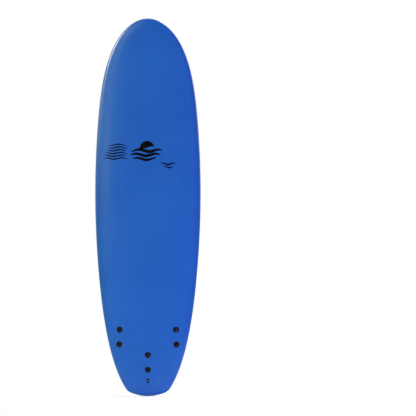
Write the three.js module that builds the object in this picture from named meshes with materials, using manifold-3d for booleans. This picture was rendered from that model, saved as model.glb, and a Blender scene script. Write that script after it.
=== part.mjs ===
// A soft-top longboard surfboard, all in millimetres.
//
// Frame: +Z runs along the board to the nose, the deck faces -Y and the hull and fins face +Y.
// The origin is the centre of the hull's flat middle, halfway along the board.
//
// The board is a foam blank in four lengths, glued up either side of three plywood stringers. A soft
// skin covers the deck and wraps the rails, and a foam sheet and a hard slick close the hull. Bumpers
// cap the hull at both ends. Screws through the board hold the fins, and a leash plug and a finger
// grip are let into it.

import * as THREE from 'three';
import { mergeVertices } from 'three/addons/utils/BufferGeometryUtils.js';
import Module from 'manifold-3d';

const wasm = await Module();
wasm.setup();

// ---------------------------------------------------------------- driving dimensions

const LENGTH = 2133.6;
const HALF_LENGTH = LENGTH / 2;

// Half widths at stations along the board, tail first. Their squares are joined by a smooth curve.
const STATIONS = [
  { z: -HALF_LENGTH, halfWidth: 0 },
  { z: -1050, halfWidth: 94 },
  { z: -1020, halfWidth: 128 },
  { z: -960, halfWidth: 160 },
  { z: -760, halfWidth: 223 },
  { z: -350, halfWidth: 280 },
  { z: 70, halfWidth: 298.4 },
  { z: 500, halfWidth: 281 },
  { z: 800, halfWidth: 234 },
  { z: 980, halfWidth: 148.5 },
  { z: HALF_LENGTH, halfWidth: 0 },
];

// Between -FLAT_REACH and +FLAT_REACH the hull is a plane and the board has its full thickness.
const FLAT_REACH = 250;
const NOSE_ROCKER = 120;
const TAIL_ROCKER = 55;
const NOSE_ROCKER_POWER = 2.3;
const TAIL_ROCKER_POWER = 2;
const THICKNESS = 85.7;
const NOSE_THICKNESS = 38;
const TAIL_THICKNESS = 34;
const FOIL_POWER = 2.2;

// The rail is widest at APEX_SHARE of the thickness, and tucks in by RAIL_TUCK below that.
const APEX_SHARE = 0.3;
const RAIL_TUCK = 14;
const SEAM_INSET = 7.4;
const DECK_FLAT_SHARE = 0.2;
const DECK_CROWN_POWER = 3;

// Layers, as depths below the board's outer surface.
const GAP = 0.3;
const SKIN_DEPTH = 5.3;
const SLICK_DEPTH = 1;
const BLANK_DEPTH = SKIN_DEPTH + GAP;

const NOSE_BUMPER_LENGTH = 35;
const TAIL_BUMPER_LENGTH = 45;

const STRINGER_THICKNESS = 4;
const SIDE_STRINGER_X = 115;
const CENTER_STRINGER_END_Z = -790;

const SIDE_FIN_X = 160;
const SIDE_FIN_Z = -738;
const CENTER_FIN_Z = -882;
const TOE_IN = THREE.MathUtils.degToRad(1.8);

const LEASH_PLUG_Z = -980;

const GRIP_X = -54;
const GRIP_Z = -9;

// ---------------------------------------------------------------- the board's shape

// Natural cubic spline: returns a function giving [value, slope] at x.
function smoothCurve(xs, ys) {
  const last = xs.length - 1;
  const bend = new Array(xs.length).fill(0);
  const carry = new Array(xs.length).fill(0);
  for (let i = 1; i < last; i++) {
    const before = xs[i] - xs[i - 1];
    const after = xs[i + 1] - xs[i];
    const share = before / (before + after);
    const pivot = share * bend[i - 1] + 2;
    const turn = (ys[i + 1] - ys[i]) / after - (ys[i] - ys[i - 1]) / before;
    bend[i] = (share - 1) / pivot;
    carry[i] = (6 * turn / (before + after) - share * carry[i - 1]) / pivot;
  }
  const second = new Array(xs.length).fill(0);
  for (let i = last - 1; i > 0; i--) second[i] = bend[i] * second[i + 1] + carry[i];
  return (x) => {
    let i = 0;
    while (i < last - 1 && x > xs[i + 1]) i++;
    const step = xs[i + 1] - xs[i];
    const b = (x - xs[i]) / step;
    const a = 1 - b;
    const value = a * ys[i] + b * ys[i + 1]
      + ((a ** 3 - a) * second[i] + (b ** 3 - b) * second[i + 1]) * step ** 2 / 6;
    const slope = (ys[i + 1] - ys[i]) / step
      + ((3 * b ** 2 - 1) * second[i + 1] - (3 * a ** 2 - 1) * second[i]) * step / 6;
    return [value, slope];
  };
}

const widthSquared = smoothCurve(STATIONS.map((s) => s.z), STATIONS.map((s) => s.halfWidth ** 2));

function halfWidth(z) {
  return Math.sqrt(Math.max(widthSquared(THREE.MathUtils.clamp(z, -HALF_LENGTH, HALF_LENGTH))[0], 0));
}

// How far z is from the flat middle towards the tip on its side, from 0 to 1.
function towardsTip(z) {
  return Math.max(Math.abs(z) - FLAT_REACH, 0) / (HALF_LENGTH - FLAT_REACH);
}

function rocker(z) {
  if (z > 0) return NOSE_ROCKER * towardsTip(z) ** NOSE_ROCKER_POWER;
  return TAIL_ROCKER * towardsTip(z) ** TAIL_ROCKER_POWER;
}

function thickness(z) {
  const tip = z > 0 ? NOSE_THICKNESS : TAIL_THICKNESS;
  return THICKNESS - (THICKNESS - tip) * towardsTip(z) ** FOIL_POWER;
}

// The deck's height as a share of the way up from the rail's apex, at a share of the half width.
function crown(share) {
  const rolled = Math.max(share - DECK_FLAT_SHARE, 0) / (1 - DECK_FLAT_SHARE);
  return (1 - Math.min(rolled, 1) ** DECK_CROWN_POWER) ** (1 / DECK_CROWN_POWER);
}

function apexHeight(z) {
  return APEX_SHARE * thickness(z);
}

// Rings run round the board. Point 0 is at the nose and point HALF_RING at the tail.
const HALF_RING = 30;
const RING = 2 * HALF_RING;

// Points crowd towards the tips, where the outline turns fastest.
const TIP_CROWDING = 0.15;

// Inner rings draw in fully across the board, but only by this share along it.
const LENGTHWISE_DRAW = 0.1;

// A ring from the outline moved inwards by inset, then drawn in to a share of its width.
function ring(inset, share, heightAt) {
  return Array.from({ length: RING }, (_, i) => {
    const turn = Math.PI * i / HALF_RING;
    const angle = turn - TIP_CROWDING * Math.sin(2 * turn);
    const side = i <= HALF_RING ? 1 : -1;
    const z = HALF_LENGTH * Math.cos(angle);
    const edge = i % HALF_RING === 0 ? 0 : halfWidth(z);
    const normal = new THREE.Vector2(edge, -widthSquared(z)[1] / 2).normalize();
    const x = side * (edge - inset * normal.x) * share;
    const along = (z - inset * normal.y) * (1 - LENGTHWISE_DRAW * (1 - share));
    return new THREE.Vector3(x, -rocker(along) - heightAt(along), along);
  });
}

function deckRing(depth, share) {
  return ring(depth, share, (z) => {
    const apex = apexHeight(z);
    return apex + (thickness(z) - depth - apex) * crown(share);
  });
}

// The lower rail is a quarter ellipse: angle 0 is the apex and a right angle is the flat hull's edge.
function railRing(depth, angle) {
  const inset = RAIL_TUCK - (RAIL_TUCK - depth) * Math.cos(angle);
  return ring(inset, 1, (z) => {
    const apex = apexHeight(z);
    return apex - (apex - depth) * Math.sin(angle);
  });
}

function hullRing(depth, share) {
  return ring(RAIL_TUCK, share, () => depth);
}

// A closed body through rings of equal length, with the first and last ring filled straight across.
// Each four-sided patch is split along one diagonal, the same one on both sides of the board. Patches
// from ring flipFrom on take the other diagonal: there the rings run back towards the middle, so that
// the facing surfaces of two layers stay parallel.
function loft(rings, flipFrom) {
  const positions = rings.flat().flatMap((p) => p.toArray());
  const faces = [];
  for (let r = 0; r < rings.length - 1; r++) {
    for (let i = 0; i < RING; i++) {
      const next = (i + 1) % RING;
      const [a, b] = [r * RING + i, r * RING + next];
      const [c, d] = [a + RING, b + RING];
      if ((r >= flipFrom) === (i < HALF_RING)) faces.push(a, b, d, a, d, c);
      else faces.push(a, b, c, b, d, c);
    }
  }
  const lastRing = (rings.length - 1) * RING;
  for (let i = 0; i < HALF_RING; i++) {
    const [a, b] = [i, i + 1];
    const [c, d] = [(RING - i) % RING, RING - i - 1];
    if (a !== c) {
      faces.push(a, c, b);
      faces.push(lastRing + a, lastRing + b, lastRing + c);
    }
    if (b !== d) {
      faces.push(b, c, d);
      faces.push(lastRing + b, lastRing + d, lastRing + c);
    }
  }
  const geometry = new THREE.BufferGeometry();
  geometry.setAttribute('position', new THREE.Float32BufferAttribute(positions, 3));
  geometry.setIndex(faces);
  return geometry;
}

// ---------------------------------------------------------------- solids

function solid(geometry) {
  const bare = geometry.clone();
  bare.deleteAttribute('normal');
  bare.deleteAttribute('uv');
  const merged = mergeVertices(bare, 1e-4);
  return new wasm.Manifold(new wasm.Mesh({
    numProp: 3,
    vertProperties: new Float32Array(merged.attributes.position.array),
    triVerts: new Uint32Array(merged.index.array),
  }));
}

function toGeometry(manifold) {
  const mesh = manifold.getMesh();
  const geometry = new THREE.BufferGeometry();
  geometry.setAttribute('position', new THREE.BufferAttribute(new Float32Array(mesh.vertProperties), 3));
  geometry.setIndex(new THREE.BufferAttribute(new Uint32Array(mesh.triVerts), 1));
  geometry.computeVertexNormals();
  return geometry;
}

function cutAll(manifold, tools) {
  return tools.reduce((body, tool) => body.subtract(tool), manifold);
}

// A box between two corners.
function block(low, high) {
  const size = new THREE.Vector3().subVectors(high, low);
  const middle = new THREE.Vector3().addVectors(low, high).multiplyScalar(0.5);
  return solid(new THREE.BoxGeometry(...size).translate(...middle));
}

// The slice of space between two planes across X, tall and long enough to cross the whole board.
const REACH = 1500;
function sliceX(from, to) {
  return block(new THREE.Vector3(from, -REACH, -REACH), new THREE.Vector3(to, REACH, REACH));
}

function sliceZ(from, to) {
  return block(new THREE.Vector3(-REACH, -REACH, from), new THREE.Vector3(REACH, REACH, to));
}

// A body turned round Y from [radius, y] pairs.
function turned(profile, segments) {
  return new THREE.LatheGeometry(profile.map(([r, y]) => new THREE.Vector2(r, y)), segments);
}

// A straight rod round Y between two heights.
function rod(radius, from, to, segments) {
  return turned([[0, from], [radius, from], [radius, to], [0, to]], segments);
}

// A flat outline in X and Z, given as points, filled from one height down to another.
function plate(points, top, bottom, options = {}) {
  const shape = new THREE.Shape(points);
  const geometry = new THREE.ExtrudeGeometry(shape, { depth: top - bottom, bevelEnabled: false, ...options });
  return geometry.rotateX(Math.PI / 2).translate(0, top, 0);
}

// A shape with straight sides and round ends, along Z.
function obround(width, length, arcSteps) {
  const radius = width / 2;
  const points = [];
  for (const end of [1, -1]) {
    for (let i = 0; i <= arcSteps; i++) {
      const angle = Math.PI * i / arcSteps;
      const x = end * radius * Math.cos(angle);
      const z = end * (length / 2 - radius + radius * Math.sin(angle));
      points.push(new THREE.Vector2(x, z));
    }
  }
  return points;
}

// ---------------------------------------------------------------- places on the board

// Local axes at a point of the hull: +Y leaves the hull, +Z runs towards the nose.
function hullPlace(x, z, turn) {
  const step = 0.5;
  const slope = (rocker(z + step) - rocker(z - step)) / (2 * step);
  const across = new THREE.Vector3(1, 0, 0);
  const outwards = new THREE.Vector3(0, 1, slope).normalize();
  const forwards = new THREE.Vector3().crossVectors(across, outwards);
  return new THREE.Matrix4()
    .makeBasis(across, outwards, forwards)
    .setPosition(x, -rocker(z), z)
    .multiply(new THREE.Matrix4().makeRotationY(turn));
}

// The deck's height above the hull over any point: the ring through the point gives its share.
function deckHeight(x, z) {
  let [low, high] = [0, 1];
  for (let i = 0; i < 40; i++) {
    const share = (low + high) / 2;
    const reach = share * halfWidth(z / (1 - LENGTHWISE_DRAW * (1 - share)));
    if (reach < Math.abs(x)) low = share;
    else high = share;
  }
  const apex = apexHeight(z);
  return apex + (thickness(z) - apex) * crown(low);
}

// How far the deck lies behind a local point on the hull, along the place's own -Y.
function deckDistance(place, localZ) {
  const start = new THREE.Vector3(0, 0, localZ).applyMatrix4(place);
  const inwards = new THREE.Vector3(0, -1, 0).transformDirection(place);
  let distance = 0;
  for (let i = 0; i < 20; i++) {
    const point = start.clone().addScaledVector(inwards, distance);
    const above = point.y + rocker(point.z) + deckHeight(point.x, point.z);
    distance += above / Math.abs(inwards.y);
  }
  return distance;
}

// ---------------------------------------------------------------- materials

function finish(color, roughness, metalness = 0) {
  return () => new THREE.MeshStandardMaterial({ color, roughness, metalness });
}

const blueFoam = finish(0x2860b4, 0.75);
const whiteFoam = finish(0xf1f1ee, 0.9);
const whiteSlick = finish(0xf7f7f7, 0.3);
const plywood = finish(0xc49a63, 0.7);
const greyRubber = finish(0x424144, 0.6);
const blackRubber = finish(0x0c0c0c, 0.6);
const blackFinPlastic = finish(0x181818, 0.4);
const blackNylon = finish(0x1c1a18, 0.5);
const greyTube = finish(0xb8bcc0, 0.5);
const softRubber = finish(0x202020, 0.8);
const brass = finish(0xc8a24a, 0.35, 1);
const steel = finish(0xc0c2c4, 0.3, 1);

const board = new THREE.Group();

function add(name, geometry, material) {
  const mesh = new THREE.Mesh(geometry, material());
  mesh.name = name;
  board.add(mesh);
}

// ---------------------------------------------------------------- fins and their screws

const FLANGE_LENGTH = 131;
const FLANGE_WIDTH = 45;
const FLANGE_BEVEL = 1.6;
const FLANGE_HEIGHT = 5;
const FLANGE_ARC_STEPS = 8;
const FIN_DEPTH = 117;
const FIN_TIP_OVERHANG = 47;
const BLADE_BASE_FRONT = 57;
const BLADE_BASE_REAR = -59;
const BLADE_BASE_THICKNESS = 10;
const BLADE_TIP_THICKNESS = 4;
const BLADE_LEVELS = 9;
const BLADE_SECTION_STEPS = 6;

const SCREW_SPACING = 83;
const POST_RADIUS = 7.5;
const POST_END = -24;
const INSERT_RADIUS = 5;
const INSERT_BORE_RADIUS = 3.3;
const INSERT_POCKET_END = -12;

const HEAD_RADIUS = 16;
const HEAD_HEIGHT = 3.5;
const HEAD_PROUD = 0.5;
const HEAD_DISH_RADIUS = 7;
const HEAD_DISH_DEPTH = 1.2;
const SLOT_LENGTH = 12;
const SLOT_WIDTH = 2.2;
const SLOT_DEPTH = 2;
const SHANK_RADIUS = 3;
const SHANK_END = -14;
const SHANK_HOLE_RADIUS = 3.6;
const WASHER_HEIGHT = 1.5;
const WASHER_RADIUS = 15.5;
const SLEEVE_FLANGE_HEIGHT = 3;
const SLEEVE_FLANGE_RADIUS = 16.5;
const SLEEVE_RADIUS = 10;
const SLEEVE_BORE_RADIUS = 7.8;
const SLEEVE_END = -0.6;
const POCKET_RADIUS = 17;

// Heights of the parts stacked under a screw's head, measured from the deck along the screw.
const HEAD_UNDERSIDE = HEAD_HEIGHT - HEAD_PROUD;
const WASHER_TOP = HEAD_UNDERSIDE + GAP;
const SLEEVE_TOP = WASHER_TOP + WASHER_HEIGHT + GAP;
const POCKET_DEPTH = SLEEVE_TOP + SLEEVE_FLANGE_HEIGHT + GAP;

// The blade's outline: where its leading and trailing edges lie at a share of its depth.
function bladeEdges(share) {
  const tip = -FLANGE_LENGTH / 2 - FIN_TIP_OVERHANG;
  const leading = BLADE_BASE_FRONT - 38 * share - 100 * share ** 2.6;
  const trailing = BLADE_BASE_REAR + 6 * Math.sin(Math.PI * share) + (tip - BLADE_BASE_REAR) * share ** 2.2;
  return [leading, trailing];
}

// A foiled blade: lens-shaped sections stacked from the flange to the tip.
function bladeGeometry() {
  const points = [];
  const loop = 2 * BLADE_SECTION_STEPS;
  for (let level = 0; level < BLADE_LEVELS; level++) {
    const share = Math.sin(Math.PI / 2 * level / (BLADE_LEVELS - 1));
    const [leading, trailing] = bladeEdges(share);
    const half = (BLADE_BASE_THICKNESS + (BLADE_TIP_THICKNESS - BLADE_BASE_THICKNESS) * share) / 2;
    for (let i = 0; i < loop; i++) {
      const angle = Math.PI * i / BLADE_SECTION_STEPS;
      const x = half * Math.sin(angle);
      const z = (leading + trailing) / 2 + (leading - trailing) / 2 * Math.cos(angle);
      points.push(x, 1 + (FIN_DEPTH - 1) * share, z);
    }
  }
  const faces = [];
  for (let level = 0; level < BLADE_LEVELS - 1; level++) {
    for (let i = 0; i < loop; i++) {
      const [a, b] = [level * loop + i, level * loop + (i + 1) % loop];
      faces.push(a, b, a + loop, b, b + loop, a + loop);
    }
  }
  const top = (BLADE_LEVELS - 1) * loop;
  for (let i = 1; i < loop - 1; i++) {
    faces.push(0, i + 1, i);
    faces.push(top, top + i, top + i + 1);
  }
  const geometry = new THREE.BufferGeometry();
  geometry.setAttribute('position', new THREE.Float32BufferAttribute(points, 3));
  geometry.setIndex(faces);
  return geometry;
}

function finGeometry() {
  const bevel = {
    depth: FLANGE_HEIGHT - GAP - 2 * FLANGE_BEVEL,
    bevelEnabled: true,
    bevelThickness: FLANGE_BEVEL,
    bevelSize: FLANGE_BEVEL,
    bevelOffset: -FLANGE_BEVEL,
    bevelSegments: 1,
  };
  const outline = obround(FLANGE_WIDTH, FLANGE_LENGTH, FLANGE_ARC_STEPS);
  let fin = solid(plate(outline, FLANGE_HEIGHT - FLANGE_BEVEL, 0, bevel));
  fin = fin.add(solid(bladeGeometry()));
  for (const localZ of [SCREW_SPACING / 2, -SCREW_SPACING / 2]) {
    const post = rod(POST_RADIUS, POST_END, 1, 16).translate(0, 0, localZ);
    const pocket = rod(INSERT_RADIUS + GAP, POST_END - 1, INSERT_POCKET_END, 12).translate(0, 0, localZ);
    fin = fin.add(solid(post)).subtract(solid(pocket));
  }
  return toGeometry(fin);
}

function insertGeometry() {
  const [inner, outer] = [INSERT_BORE_RADIUS, INSERT_RADIUS];
  const [top, bottom] = [INSERT_POCKET_END - GAP, POST_END + GAP];
  return turned([[inner, bottom], [outer, bottom], [outer, top], [inner, top], [inner, bottom]], 10);
}

// Screw, washer and sleeve hang from the deck, which lies at local height -distance.
function screwGeometry(distance) {
  const top = -distance - HEAD_PROUD;
  const underside = -distance + HEAD_UNDERSIDE;
  const edge = 1.2;
  const profile = [
    [0, top + HEAD_DISH_DEPTH],
    [HEAD_DISH_RADIUS - edge, top + HEAD_DISH_DEPTH],
    [HEAD_DISH_RADIUS, top],
    [HEAD_RADIUS - edge, top],
    [HEAD_RADIUS, top + edge],
    [HEAD_RADIUS, underside],
    [SHANK_RADIUS, underside],
    [SHANK_RADIUS, SHANK_END],
    [0, SHANK_END],
  ];
  const slotFloor = top + HEAD_DISH_DEPTH + SLOT_DEPTH;
  const slot = block(
    new THREE.Vector3(-SLOT_LENGTH / 2, top - 1, -SLOT_WIDTH / 2),
    new THREE.Vector3(SLOT_LENGTH / 2, slotFloor, SLOT_WIDTH / 2),
  );
  return toGeometry(solid(turned(profile, 16)).subtract(slot));
}

function washerGeometry(distance) {
  const top = -distance + WASHER_TOP;
  const bottom = top + WASHER_HEIGHT;
  const [inner, outer] = [SHANK_HOLE_RADIUS, WASHER_RADIUS];
  return turned([[inner, top], [outer, top], [outer, bottom], [inner, bottom], [inner, top]], 12);
}

function sleeveGeometry(distance) {
  const top = -distance + SLEEVE_TOP;
  const shoulder = top + SLEEVE_FLANGE_HEIGHT;
  return turned([
    [SHANK_HOLE_RADIUS, top],
    [SLEEVE_FLANGE_RADIUS, top],
    [SLEEVE_FLANGE_RADIUS, shoulder],
    [SLEEVE_RADIUS, shoulder],
    [SLEEVE_RADIUS, SLEEVE_END],
    [SLEEVE_BORE_RADIUS, SLEEVE_END],
    [SLEEVE_BORE_RADIUS, shoulder],
    [SHANK_HOLE_RADIUS, shoulder],
    [SHANK_HOLE_RADIUS, top],
  ], 12);
}

// The room that a screw and its sleeve need in the skin, blank, foam and slick.
function screwRoom(distance) {
  const floor = -distance + POCKET_DEPTH;
  return turned([
    [0, -distance - 10],
    [POCKET_RADIUS, -distance - 10],
    [POCKET_RADIUS, floor],
    [SLEEVE_RADIUS + GAP, floor],
    [SLEEVE_RADIUS + GAP, 5],
    [0, 5],
  ], 16);
}

const FINS = [
  { side: 'left', place: hullPlace(-SIDE_FIN_X, SIDE_FIN_Z, TOE_IN) },
  { side: 'right', place: hullPlace(SIDE_FIN_X, SIDE_FIN_Z, -TOE_IN) },
  { side: 'center', place: hullPlace(0, CENTER_FIN_Z, 0) },
];

function addFins() {
  const rooms = [];
  for (const { side, place } of FINS) {
    add(`fin_${side}`, finGeometry().applyMatrix4(place), blackFinPlastic);
    for (const [end, localZ] of [['front', SCREW_SPACING / 2], ['rear', -SCREW_SPACING / 2]]) {
      const distance = deckDistance(place, localZ);
      const here = new THREE.Matrix4().makeTranslation(0, 0, localZ).premultiply(place);
      const put = (part, geometry, material) => {
        add(`${part}_${side}_${end}`, geometry.applyMatrix4(here), material);
      };
      put('fin_screw', screwGeometry(distance), blackNylon);
      put('screw_seal', washerGeometry(distance), softRubber);
      put('screw_sleeve', sleeveGeometry(distance), greyTube);
      put('screw_insert', insertGeometry(), brass);
      rooms.push(solid(screwRoom(distance).applyMatrix4(here)));
    }
  }
  return rooms;
}

// ---------------------------------------------------------------- leash plug

const LEASH_MOUTH_WIDTH = 10.6;
const LEASH_MOUTH_LENGTH = 22.6;
const LEASH_WALL = 1.2;
const LEASH_DEPTH = 22;
const LEASH_FLOOR = 2;
const LEASH_FLANGE_MARGIN = 5;
const LEASH_FLANGE_HEIGHT = 2;
const LEASH_PIN_RADIUS = 1.9;
const LEASH_PIN_DEPTH = 4.5;
const LEASH_ARC_STEPS = 6;

// Local axes on the deck over the leash plug, where the deck runs along Z: +Y leaves the deck.
const LEASH_PLACE = new THREE.Matrix4()
  .makeRotationZ(Math.PI)
  .setPosition(0, -rocker(LEASH_PLUG_Z) - thickness(LEASH_PLUG_Z), LEASH_PLUG_Z);

// The cup's outside, grown by a margin: a neck through the skin, and a flange hidden under it.
function leashBody(margin) {
  const width = LEASH_MOUTH_WIDTH + 2 * LEASH_WALL;
  const length = LEASH_MOUTH_LENGTH + 2 * LEASH_WALL;
  const flangeTop = -BLANK_DEPTH - GAP;
  const neck = obround(width + 2 * margin, length + 2 * margin, LEASH_ARC_STEPS);
  const grown = 2 * (LEASH_FLANGE_MARGIN + margin);
  const flange = obround(width + grown, length + grown, LEASH_ARC_STEPS);
  return solid(plate(neck, margin, -LEASH_DEPTH - margin))
    .add(solid(plate(flange, flangeTop + margin, flangeTop - LEASH_FLANGE_HEIGHT - margin)));
}

function leashPin(radius, halfLength) {
  return rod(radius, -halfLength, halfLength, 12).rotateZ(Math.PI / 2).translate(0, -LEASH_PIN_DEPTH, 0);
}

function addLeashPlug() {
  const mouth = obround(LEASH_MOUTH_WIDTH, LEASH_MOUTH_LENGTH, LEASH_ARC_STEPS);
  const halfWidthOutside = LEASH_MOUTH_WIDTH / 2 + LEASH_WALL;
  const cup = leashBody(0)
    .subtract(solid(plate(mouth, 1, LEASH_FLOOR - LEASH_DEPTH)))
    .subtract(solid(leashPin(LEASH_PIN_RADIUS + GAP, halfWidthOutside + 1)));
  add('leash_plug_cup', toGeometry(cup).applyMatrix4(LEASH_PLACE), blackNylon);
  add('leash_pin', leashPin(LEASH_PIN_RADIUS, halfWidthOutside).applyMatrix4(LEASH_PLACE), steel);
  return solid(toGeometry(leashBody(GAP)).applyMatrix4(LEASH_PLACE));
}

// ---------------------------------------------------------------- finger grip

const GRIP_PITCH = 34.9;
const GRIP_BULGES = 4;
const GRIP_WIDE = 14.9;
const GRIP_NECK = 9.9;
const GRIP_CAP = 12;
const GRIP_CAP_POWER = 2.4;
const GRIP_STEPS_PER_BULGE = 6;
const GRIP_CAP_STEPS = 5;
const GRIP_WALL = 2.5;
const GRIP_DEPTH = 34;
const GRIP_PLACE = new THREE.Matrix4().makeTranslation(GRIP_X, 0, GRIP_Z);

// One side of the scalloped outline, from one end to the other: a wave between two rounded caps.
function gripSide() {
  const reach = GRIP_PITCH * (GRIP_BULGES - 1) / 2;
  const points = [];
  for (let i = 1; i < GRIP_CAP_STEPS; i++) {
    const angle = Math.PI / 2 * i / GRIP_CAP_STEPS;
    const x = GRIP_WIDE * Math.sin(angle) ** (2 / GRIP_CAP_POWER);
    points.push(new THREE.Vector2(x, -reach - GRIP_CAP * Math.cos(angle) ** (2 / GRIP_CAP_POWER)));
  }
  const steps = GRIP_STEPS_PER_BULGE * (GRIP_BULGES - 1);
  for (let i = 0; i <= steps; i++) {
    const wave = Math.cos(2 * Math.PI * i / GRIP_STEPS_PER_BULGE);
    const x = (GRIP_WIDE + GRIP_NECK) / 2 + (GRIP_WIDE - GRIP_NECK) / 2 * wave;
    points.push(new THREE.Vector2(x, -reach + 2 * reach * i / steps));
  }
  const cap = points.slice(0, GRIP_CAP_STEPS - 1).reverse();
  points.push(...cap.map((p) => new THREE.Vector2(p.x, -p.y)));
  return points;
}

// The whole outline, with every point moved outwards by a margin.
function gripOutline(margin) {
  const side = gripSide();
  const end = GRIP_PITCH * (GRIP_BULGES - 1) / 2 + GRIP_CAP;
  const loop = [
    new THREE.Vector2(0, -end),
    ...side,
    new THREE.Vector2(0, end),
    ...side.map((p) => new THREE.Vector2(-p.x, p.y)).reverse(),
  ];
  return loop.map((point, i) => {
    const before = loop[(i + loop.length - 1) % loop.length];
    const after = loop[(i + 1) % loop.length];
    const along = new THREE.Vector2().subVectors(after, before).normalize();
    return new THREE.Vector2(point.x + margin * along.y, point.y - margin * along.x);
  });
}

function addGrip() {
  const cup = solid(plate(gripOutline(0), 0, -GRIP_DEPTH))
    .subtract(solid(plate(gripOutline(-GRIP_WALL), 1, GRIP_WALL - GRIP_DEPTH)));
  add('finger_grip', toGeometry(cup).applyMatrix4(GRIP_PLACE), blackRubber);
  return solid(plate(gripOutline(GAP), 5, -GRIP_DEPTH - GAP).applyMatrix4(GRIP_PLACE));
}

// ---------------------------------------------------------------- skins, bumpers and blank

// Ring places, as shares of the half width on the deck and hull, and angles round the lower rail.
const SEAM_ANGLE = Math.acos((RAIL_TUCK - SEAM_INSET) / RAIL_TUCK);
const SEAM_GAP_ANGLE = THREE.MathUtils.degToRad(1.5);
const HULL_EDGE_ANGLE = Math.PI / 2;
const DECK_SHARES = [DECK_FLAT_SHARE, 0.6, 0.8, 0.92, 0.98, 1];
const BLANK_DECK_SHARES = [DECK_FLAT_SHARE, 0.8, 0.98, 1];

function skinSide(depth) {
  return [
    ...DECK_SHARES.map((share) => deckRing(depth, share)),
    railRing(depth, SEAM_ANGLE / 2),
    railRing(depth, SEAM_ANGLE),
  ];
}

function deckSkin() {
  const outside = skinSide(0);
  return solid(loft([...outside, ...skinSide(SKIN_DEPTH).reverse()], outside.length));
}

// One side of a hull sheet, from its edge at the seam to the middle.
function sheetSide(depth) {
  const edge = SEAM_ANGLE + SEAM_GAP_ANGLE;
  return [
    railRing(depth, edge),
    railRing(depth, (edge + HULL_EDGE_ANGLE) / 2),
    railRing(depth, HULL_EDGE_ANGLE),
    hullRing(depth, DECK_FLAT_SHARE),
  ];
}

function hullSheet(from, to) {
  const inside = sheetSide(to).reverse();
  return solid(loft([...inside, ...sheetSide(from)], inside.length));
}

function blank() {
  const top = [
    ...BLANK_DECK_SHARES.map((share) => deckRing(BLANK_DEPTH, share)),
    railRing(BLANK_DEPTH, SEAM_ANGLE),
  ];
  const bottom = [
    railRing(BLANK_DEPTH, HULL_EDGE_ANGLE),
    hullRing(BLANK_DEPTH, DECK_FLAT_SHARE),
  ];
  return solid(loft([...top, ...bottom], top.length - 1));
}

const NOSE_BUMPER_Z = HALF_LENGTH - NOSE_BUMPER_LENGTH;
const TAIL_BUMPER_Z = TAIL_BUMPER_LENGTH - HALF_LENGTH;

function addHull(rooms) {
  const between = sliceZ(TAIL_BUMPER_Z + GAP, NOSE_BUMPER_Z - GAP);
  const slick = hullSheet(0, SLICK_DEPTH).intersect(between);
  const foam = hullSheet(SLICK_DEPTH + GAP, SKIN_DEPTH).intersect(between);
  add('bottom_slick', toGeometry(cutAll(slick, rooms)), whiteSlick);
  add('bottom_foam', toGeometry(cutAll(foam, rooms)), whiteFoam);
  const full = hullSheet(0, SKIN_DEPTH);
  add('nose_bumper', toGeometry(full.intersect(sliceZ(NOSE_BUMPER_Z, REACH))), greyRubber);
  add('tail_bumper', toGeometry(full.intersect(sliceZ(-REACH, TAIL_BUMPER_Z))), blackRubber);
}

// The blank is sawn lengthwise at the stringers. Behind the centre stringer only a glue line remains.
function addBlank(rooms) {
  const whole = blank();
  const drilled = cutAll(whole, rooms);
  const half = STRINGER_THICKNESS / 2;
  const kerf = half + GAP;
  const slot = sliceX(-kerf, kerf).intersect(sliceZ(CENTER_STRINGER_END_Z - GAP, REACH));
  const glueLine = sliceX(-GAP / 2, GAP / 2);
  const inner = cutAll(drilled, [slot, glueLine]);
  const edge = SIDE_STRINGER_X;
  add('blank_left_outer', toGeometry(drilled.intersect(sliceX(-REACH, -edge - kerf))), whiteFoam);
  add('blank_left_inner', toGeometry(inner.intersect(sliceX(-edge + kerf, 0))), whiteFoam);
  add('blank_right_inner', toGeometry(inner.intersect(sliceX(0, edge - kerf))), whiteFoam);
  add('blank_right_outer', toGeometry(drilled.intersect(sliceX(edge + kerf, REACH))), whiteFoam);
  const center = whole.intersect(sliceX(-half, half)).intersect(sliceZ(CENTER_STRINGER_END_Z, REACH));
  add('stringer_left', toGeometry(whole.intersect(sliceX(-edge - half, -edge + half))), plywood);
  add('stringer_center', toGeometry(center), plywood);
  add('stringer_right', toGeometry(whole.intersect(sliceX(edge - half, edge + half))), plywood);
}

const screwRooms = addFins();
const leashRoom = addLeashPlug();
const gripRoom = addGrip();
add('deck_skin', toGeometry(cutAll(deckSkin(), [...screwRooms, leashRoom])), blueFoam);
addHull([...screwRooms, gripRoom]);
addBlank([...screwRooms, leashRoom, gripRoom]);

export default board;
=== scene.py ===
import math

import bmesh
import bpy
import numpy as np
from mathutils import Matrix, Vector


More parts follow.
